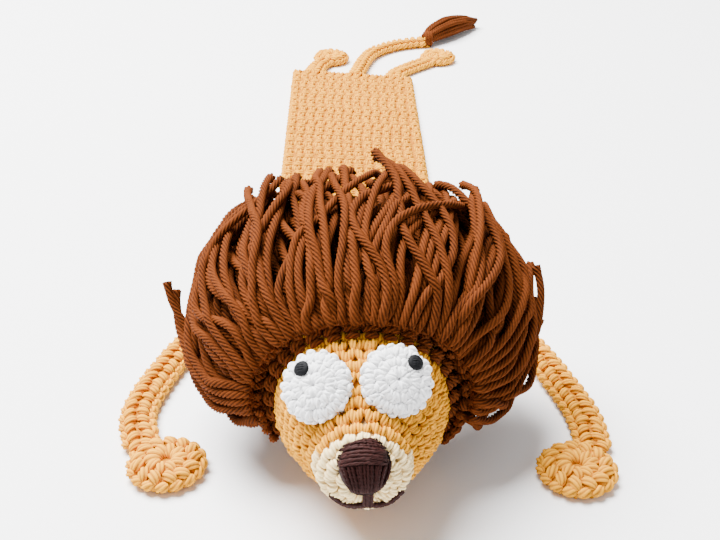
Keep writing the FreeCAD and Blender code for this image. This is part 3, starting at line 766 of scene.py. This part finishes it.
def build_knots():
    """The rows of loops that the strands are knotted into."""
    for name, y, last in KNOT_ROWS:
        knots = Piece()
        for i in range(KNOTS_ROUND):
            turn = -180 + 360.0 * (i + 0.5) / KNOTS_ROUND
            if abs(turn) > last:
                continue
            shift = hairline_shift(turn) if y < HAIRLINE_Y + HAIRLINE_DEEP else 0.0
            s = float(np.interp(y + shift, HEAD_YS, HEAD_S))
            half = TAU / KNOTS_ROUND * 0.44
            a, out = head_place(math.radians(turn) - half, s - 0.5 + rng.normal(0, 0.2), 1.0)
            b, _ = head_place(math.radians(turn) + half, s + 0.4, 0.9)
            leg(knots, a, b, out, 0.92, 0.9, pitch=6.0, depth=0.34)
            a, _ = head_place(math.radians(turn) - half * 0.8, s - 1.5, 0.35)
            b, _ = head_place(math.radians(turn) + half * 0.9, s - 1.0, 0.35)
            leg(knots, a, b, out, 0.72, 0.45, pitch=8.0)
        finish_piece(knots, name + "_loops", BROWN, [name], "head")


# ---- strip ----
def strip_y(x, y):
    """Where the row that crosses the centre line at y lies at x. The rows run more askew towards the tail."""
    share = (y - STRIP_START_Y) / (STRIP_END_Y - STRIP_START_Y)
    return y - x * math.tan(END_SKEW) * max(0.0, share)


def strip_place(x, y, z):
    return np.array([x, strip_y(x, y), z])


STITCH_LIFT = 1.02            # the middle of a stitch's leg lies this far inside the fabric's face
SLAB_THICK = 1.7
NECK_REACH, FOLD_REACH = 5.0, 16.0      # how far the spans given with the neck and fold bends reach on both sides of each joint


def fabric_rows(piece, width, y0, y1):
    """Rows of stitches on both faces of a flat panel, every second one raised, and its edge stitches."""
    rows = round((y1 - y0) / ROW_H)
    height = (y1 - y0) / rows
    count = round(width / STITCH_W)
    pitch_x = width / count
    faces = ((1, FABRIC - STITCH_LIFT, UP), (-1, STITCH_LIFT, -UP))
    for k in range(rows):
        y = y0 + k * height
        for side, z, out in faces:
            ridge = (round(y / ROW_H) + (side < 0)) % 2 == 0
            shift = rng.uniform(-0.7, 0.7)
            for i in range(count):
                x = (i + 0.5) * pitch_x - width / 2
                x = x + shift * min(1.0, i, count - 1 - i) + rng.normal(0, 0.1)
                if ridge:
                    for lean in (-1, 1):
                        a = strip_place(x + lean * 0.28, y - height * 0.1, z)
                        b = strip_place(x + lean * 1.12, y + height * 0.95, z)
                        leg(piece, a, b, out, 0.93, 0.34, per_ply=2, plies=4, pitch=8.0 * lean)
                else:
                    for low, high in ((0.20, 0.36), (0.62, 0.80)):
                        a = strip_place(x - 1.7, y + height * low, z - side * 0.1)
                        b = strip_place(x + 1.7, y + height * high, z - side * 0.1)
                        leg(piece, a, b, out, 0.86, 0.3, per_ply=2, plies=4, pitch=8.0)
        for sign in (-1, 1):
            a = strip_place(sign * (width / 2 - 1.0), y - 0.1, FABRIC / 2 - 0.4)
            b = strip_place(sign * (width / 2 - 0.9), y + height * 0.95, FABRIC / 2 + 0.5)
            leg(piece, a, b, np.array([sign, 0.0, 0.2]), 1.12, 0.3, per_ply=2, pitch=9.0)


def slab(piece, width, y0, y1, steps=40):
    """The fabric's inner layer."""
    rings = []
    xs = np.linspace(-width / 2 + 0.8, width / 2 - 0.8, 14)
    low, high = FABRIC / 2 - SLAB_THICK / 2, FABRIC / 2 + SLAB_THICK / 2
    for y in np.linspace(y0, y1, steps):
        top = [strip_place(x, y, high) for x in xs]
        bottom = [strip_place(x, y, low) for x in xs[::-1]]
        rings.append(top + bottom)
    loft(piece, rings)


def build_strip():
    front_slab, front, rear_slab, rear = Piece(), Piece(), Piece(), Piece()
    slab(front_slab, STRIP_W, STRIP_START_Y, PANEL_CUT_Y)
    fabric_rows(front, STRIP_W, STRIP_START_Y, PANEL_CUT_Y)
    slab(rear_slab, STRIP_W, PANEL_CUT_Y, STRIP_END_Y, steps=90)
    fabric_rows(rear, STRIP_W, PANEL_CUT_Y, STRIP_END_Y)
    neck_back, neck_front = STRIP_START_Y + NECK_REACH, STRIP_START_Y - NECK_REACH
    neck = ("strip", "head", (0, neck_back * MM, 0), (0, neck_front * MM, 0))
    fold = ("strip", "back", (0, (FOLD_Y - FOLD_REACH) * MM, 0), (0, (FOLD_Y + FOLD_REACH) * MM, 0))
    rows = finish_piece(front, "strip_front_rows", TAN, [], bend=neck)
    fabric = finish_piece(front_slab, "strip_front_fabric", TAN, ["strip_front"], bend=neck)
    rows = finish_piece(rear, "strip_rear_rows", TAN, [], bend=fold)
    fabric = finish_piece(rear_slab, "strip_rear_fabric", TAN, ["strip_rear"], bend=fold)
    tab = Piece()
    slab(tab, TAB_W, TAB_FRONT_Y, STRIP_START_Y + 0.5, steps=14)
    fabric_rows(tab, TAB_W, TAB_FRONT_Y, STRIP_START_Y)
    finish_piece(tab, "neck_tab_rows", TAN, ["neck_tab"], "head")


# ---- legs, paws and tail ----
SHOULDER_X = STRIP_W / 2 + 2.0
ARM_START = [(SHOULDER_X - 2.5, SHOULDER_Y + 0.2), (SHOULDER_X, SHOULDER_Y)]
ARM_PATHS = {                 # x away from the middle, and y
    "left": [(34.6, 41.5), (42.4, 28.5), (48.2, 12.0), (50.4, -1.0), (47.8, -12.0)],
    "right": [(34.8, 42.0), (42.0, 28.0), (47.4, 11.0), (50.6, -3.0), (50.6, -14.0)],
}
ARM_W, HIND_W, TAIL_W, TAIL_H = 7.6, 7.2, 5.8, 4.0
PAWS = {"left": (-41.5, -18.5), "right": (45.6, -21.5)}
LIMB_ROW_H, LIMB_STEPS = 2.9, 4      # a row's height, and the steps of the path in it


def limb(piece, places, width, height=FABRIC):
    """A narrow crocheted strip along level places: splayed stitches on both faces and loops on both edges."""
    rough = smooth_path(places, 60)
    length = np.linalg.norm(np.diff(rough, axis=0), axis=1).sum()
    rows = round(length / LIMB_ROW_H)
    path = smooth_path(places, rows * LIMB_STEPS + 1)
    along = unit(np.gradient(path, axis=0))
    side = unit(np.cross(UP, along))
    mid = height / 2
    rings = []
    section = TAU * np.arange(12) / 12
    for p, n in zip(path, side):
        rings.append([p + n * (width / 2 - 1.1) * math.cos(a) + UP * (mid + (mid - 0.95) * math.sin(a))
                      for a in section])
    loft(piece, rings)
    for k in range(rows + 1):
        i = k * LIMB_STEPS
        j = min(i + LIMB_STEPS, len(path) - 1)
        for face, out in ((1, UP), (-1, -UP)):
            z = mid + face * (mid - STITCH_LIFT)
            for sign in (-1, 1):
                inner = 0.12 * width * rng.uniform(-0.4, 1.0)
                a = path[i] + side[i] * sign * inner - along[i] * 0.3 + UP * z
                b = path[i] + side[j] * sign * (width / 2 - 1.15)
                b = b + along[i] * rng.uniform(1.3, 2.1) + UP * z
                leg(piece, a, b, out, 1.08 * rng.uniform(0.92, 1.08), 0.5, plies=6, pitch=16.0 * sign)
        for sign in (-1, 1) if j > i else ():
            a = path[i] + side[i] * sign * (width / 2 - 1.0) + UP * (mid - 0.4)
            b = path[j] + side[j] * sign * (width / 2 - 0.75) + UP * (mid + 0.5)
            leg(piece, a, b, side[i] * sign, 1.12 * rng.uniform(0.92, 1.06), 0.35, pitch=9.0)


PAW_SPOKES, PAW_OUTER, PAW_RIM = 10, 13, 16      # stitches in each round


def paw(piece, centre, radius, height=PAW_H):
    """A flat disc worked from its middle: a small hole, plump spokes, a second round, one over the rim."""
    c = np.array([centre[0], centre[1], 0.0])

    def at(a, r, z):
        return c + np.array([math.cos(a) * r, math.sin(a) * r, z])

    angles = TAU * np.arange(40) / 40
    sections = ((0.2, 0.5), (0.85, 0.6), (0.93, height * 0.5), (0.85, height - 1.2), (0.25, height - 1.3))
    loft(piece, [[at(a, radius * share * 0.9, z) for a in angles] for share, z in sections])
    for side, z, out, sink in ((1, height - 1.0, UP, 0.35), (-1, 1.0, -UP, -0.2)):
        for i in range(PAW_SPOKES):
            a = (i + rng.normal(0, 0.04)) * TAU / PAW_SPOKES
            leg(piece, at(a, 1.25, z - sink), at(a + 0.16, radius * 0.56, z), out, 1.3, 0.55,
                plies=6, pitch=16.0)
        for i in range(PAW_OUTER):
            a = i * TAU / PAW_OUTER + rng.normal(0, 0.03)
            foot = at(a - 0.10, radius * 0.55, z - 0.05 * side)
            tip = at(a + 0.24, radius * 0.88, z - 0.45 * side)
            leg(piece, foot, tip, out, 1.34 * rng.uniform(0.92, 1.06), 0.5, plies=6, pitch=17.0)
    for i in range(PAW_RIM):
        a = i * TAU / PAW_RIM
        foot, tip = at(a - 0.18, radius * 0.88, height * 0.40), at(a + 0.20, radius * 0.89, height * 0.60)
        leg(piece, foot, tip, np.array([math.cos(a), math.sin(a), 0]), 1.15, 0.3, pitch=10.0)


def build_front_legs():
    for side, sign in (("left", -1), ("right", 1)):
        arm = Piece()
        places = [np.array([sign * x, y, 0.0]) for x, y in ARM_START + ARM_PATHS[side]]
        limb(arm, places, ARM_W)
        start, end = ((sign * x * MM, SHOULDER_Y * MM, 0) for x in (SHOULDER_X - 3.5, SHOULDER_X + 4.5))
        body = side + "_arm"
        bend = ("strip", body, start, end)
        finish_piece(arm, side + "_front_leg_stitches", TAN, [side + "_front_leg"], bend=bend)
        foot = Piece()
        paw(foot, PAWS[side], PAW_R)
        finish_piece(foot, side + "_front_paw_stitches", TAN, [side + "_front_paw"], body)


END_ALONG = np.array([math.cos(END_SKEW), -math.sin(END_SKEW), 0])
END_OUT = np.array([math.sin(END_SKEW), math.cos(END_SKEW), 0])
HIPS = {"left": -15.6, "tail": 1.5, "right": 17.0}
ROOT_GAP = FABRIC / 2 + 0.3      # the hinges of the hind legs and the tail lie this far beyond the last row
# how far out, to the side and further inward the paw lies, and how far the leg bows
HIND_PLANS = {"left": (20.0, -0.5, 3.5, -1.0), "right": (29.0, 12.0, 2.0, 4.5)}


def beyond(x, out, along=0.0):
    """A place beyond the last row: out from it and along it from the limb that starts at x."""
    return np.array([x, STRIP_END_Y - x * math.tan(END_SKEW), 0]) + END_OUT * out + END_ALONG * along


def hinge_bend(x, body):
    start, end = (tuple(beyond(x, ROOT_GAP + d) * MM) for d in (-3.0, 5.0))
    return "back", body, start, end


def build_hind():
    for side, (reach, shift, inward, bow) in HIND_PLANS.items():
        x = HIPS[side]
        hind = Piece()
        paw_at = beyond(x, reach, shift + inward)
        end = beyond(x, reach - 5.0, shift * 0.8 + inward * 0.5)
        places = [beyond(x, -1.5), beyond(x, ROOT_GAP), beyond(x, 8.0, bow * 0.2), end]
        limb(hind, places, HIND_W)
        body = side + "_hind"
        bend = hinge_bend(x, body)
        finish_piece(hind, side + "_hind_leg_stitches", TAN, [side + "_hind_leg"], bend=bend)
        foot = Piece()
        paw(foot, paw_at[:2], HIND_PAW_R)
        finish_piece(foot, side + "_hind_paw_stitches", TAN, [side + "_hind_paw"], body)


TAIL_BEND_R, TAIL_BEND = 31.0, math.radians(72)      # the tail curves to one side
WRAP_R, WRAP_Z = 2.7, 3.4
TUFT_HEADING = math.radians(42)
TUFT_STRANDS = 26
GOLDEN_ANGLE = 2.39996


def build_tail():
    x = HIPS["tail"]
    tail = Piece()
    start = beyond(x, ROOT_GAP)
    straight = start + END_OUT * 17.0
    centre = straight + END_ALONG * TAIL_BEND_R
    arc = [centre - END_ALONG * (TAIL_BEND_R * math.cos(a)) + END_OUT * (TAIL_BEND_R * math.sin(a))
           for a in np.linspace(0, TAIL_BEND, 6)]
    places = [beyond(x, -1.5), start] + [start + END_OUT * 8.0] + arc
    limb(tail, places, TAIL_W, TAIL_H)
    finish_piece(tail, "tail_cord_stitches", TAN, ["tail_cord"], bend=hinge_bend(x, "tail"))
    end = arc[-1]
    way = END_ALONG * math.sin(TAIL_BEND) + END_OUT * math.cos(TAIL_BEND)
    wrap = Piece()
    for k in range(3):
        ring_centre = end + way * (0.5 + k * 1.05) + UP * WRAP_Z
        across = np.cross(UP, way)
        ring = [ring_centre + across * WRAP_R * math.cos(a) + UP * WRAP_R * math.sin(a)
                for a in np.linspace(0, TAU, 25)]
        yarn(wrap, ring, 0.75, pitch=5.0)
    finish_piece(wrap, "tuft_wrap_yarn", BROWN, ["tuft_wrap"], "tail")
    aim = np.array([math.sin(TUFT_HEADING), math.cos(TUFT_HEADING), 0])
    side = np.cross(UP, aim)
    begin = end + way * 0.2 + UP * WRAP_Z
    tuft = Piece()
    strands = []
    for k in range(TUFT_STRANDS):
        a, spread = k * GOLDEN_ANGLE, math.sqrt((k + 0.5) / TUFT_STRANDS)
        off = side * math.cos(a) * spread + UP * math.sin(a) * spread
        length = rng.uniform(27, 38)
        mid = 4.2 * off
        lift = UP * 2.4
        strands.append(respace(np.array([begin + off * 1.6, begin + aim * 4 + off * 3.2 + lift * 0.5,
                                         begin + aim * length * 0.45 + mid + lift * 0.8,
                                         begin + aim * length * 0.8 + mid * 0.75 + lift * 0.4,
                                         begin + aim * length + mid * 0.35 - UP * 0.6
                                         + side * rng.normal(0, 1.0)]), 26))
    for places in strands:
        places[:, 2] = np.maximum(places[:, 2], 1.1)
        for _ in range(5):
            places[1:-1] = 0.5 * places[1:-1] + 0.25 * (places[:-2] + places[2:])
        yarn(tuft, places, 1.0, pitch=6.5)
    finish_piece(tuft, "tail_tuft_strands", BROWN, ["tail_tuft"], "tail")


def seam_stitch(piece, a, b):
    leg(piece, a, b, UP, 0.6, 0.7, plies=3, pitch=5.0)


def build_seams():
    for side, sign in (("left", -1), ("right", 1)):
        piece = Piece()
        for dy in (-2.4, 0.0, 2.4):
            a = np.array([sign * (STRIP_W / 2 - 2.4), SHOULDER_Y + dy, FABRIC - 0.5])
            b = np.array([sign * (STRIP_W / 2 + 0.6), SHOULDER_Y + 0.4 + dy, FABRIC - 0.9])
            seam_stitch(piece, a, b)
        finish_piece(piece, side + "_shoulder_yarn", TAN, [side + "_shoulder_stitches"], "strip")
    for name, key in (("left_hip", "left"), ("right_hip", "right"), ("tail", "tail")):
        piece = Piece()
        for d in (-2.2, 0.0, 2.2):
            a = beyond(HIPS[key], -2.6, d) + UP * (FABRIC - 0.5)
            b = beyond(HIPS[key], 0.4, d + 0.4) + UP * (FABRIC - 0.9)
            seam_stitch(piece, a, b)
        finish_piece(piece, name + "_yarn", TAN, [name + "_stitches"], "back")
    piece = Piece()
    for i in range(5):
        a = np.array([3.5 * (i - 2), TAB_FRONT_Y + 0.4, FABRIC - 1.2])
        b = a + np.array([0.6, 2.4, 0.9])
        leg(piece, a, b, np.array([0, -0.7, 0.7]), 0.55, 0.5, plies=3, pitch=5.0)
    finish_piece(piece, "neck_seam_yarn", TAN, ["neck_seam"], "head")


build_head()
build_eyes()
build_nose()
build_mouth()
build_mane()
build_knots()
build_strip()
build_front_legs()
build_hind()
build_tail()
build_seams()


# ---- table, light and camera, in metres ----
TABLE_HALF = 3.0
ROOM_LIGHT = 0.74


def plain_material(name, colour):
    mat = bpy.data.materials.new(name)
    mat.use_nodes = True
    skin = mat.node_tree.nodes["Principled BSDF"]
    skin.inputs["Base Color"].default_value = (*colour, 1)
    skin.inputs["Roughness"].default_value = 0.6
    return mat


def stage():
    mesh = bpy.data.meshes.new("table")
    corners = [(x * TABLE_HALF, y * TABLE_HALF, 0) for x, y in ((-1, -1), (1, -1), (1, 1), (-1, 1))]
    mesh.from_pydata(corners, [], [(0, 1, 2, 3)])
    mesh.materials.append(plain_material("table_white", (0.93, 0.93, 0.935)))
    table = bpy.data.objects.new("table", mesh)
    bpy.context.scene.collection.objects.link(table)


def area_light(name, place, aim, size, power):
    lamp = bpy.data.lights.new(name, "AREA")
    lamp.shape = "DISK"
    lamp.size = size
    lamp.energy = power
    obj = bpy.data.objects.new(name, lamp)
    obj.location = place
    obj.rotation_euler = (Vector(aim) - Vector(place)).to_track_quat("-Z", "Y").to_euler()
    bpy.context.scene.collection.objects.link(obj)


stage()
area_light("window", (-0.40, 0.35, 1.05), (0, 0.05, 0), 0.95, 100.0)
world = bpy.data.worlds.new("room")
world.use_nodes = True
background = world.node_tree.nodes["Background"]
background.inputs["Color"].default_value = (1.0, 1.0, 1.0, 1)
background.inputs["Strength"].default_value = ROOM_LIGHT
bpy.context.scene.world = world

CAMERA_HEIGHT = 0.153
CAMERA_BACK = 0.203
CAMERA_DOWN = math.radians(29.4)
CAMERA_TURN = 0.0145
camera_data = bpy.data.cameras.new("photo_camera")
camera_data.lens = 55.0
camera_data.sensor_width = 36.0
camera = bpy.data.objects.new("photo_camera", camera_data)
camera.location = (-CAMERA_BACK * math.sin(CAMERA_TURN), -CAMERA_BACK * math.cos(CAMERA_TURN),
                   CAMERA_HEIGHT)
camera.rotation_euler = (math.pi / 2 - CAMERA_DOWN, 0, -CAMERA_TURN)
bpy.context.scene.collection.objects.link(camera)
bpy.context.scene.camera = camera
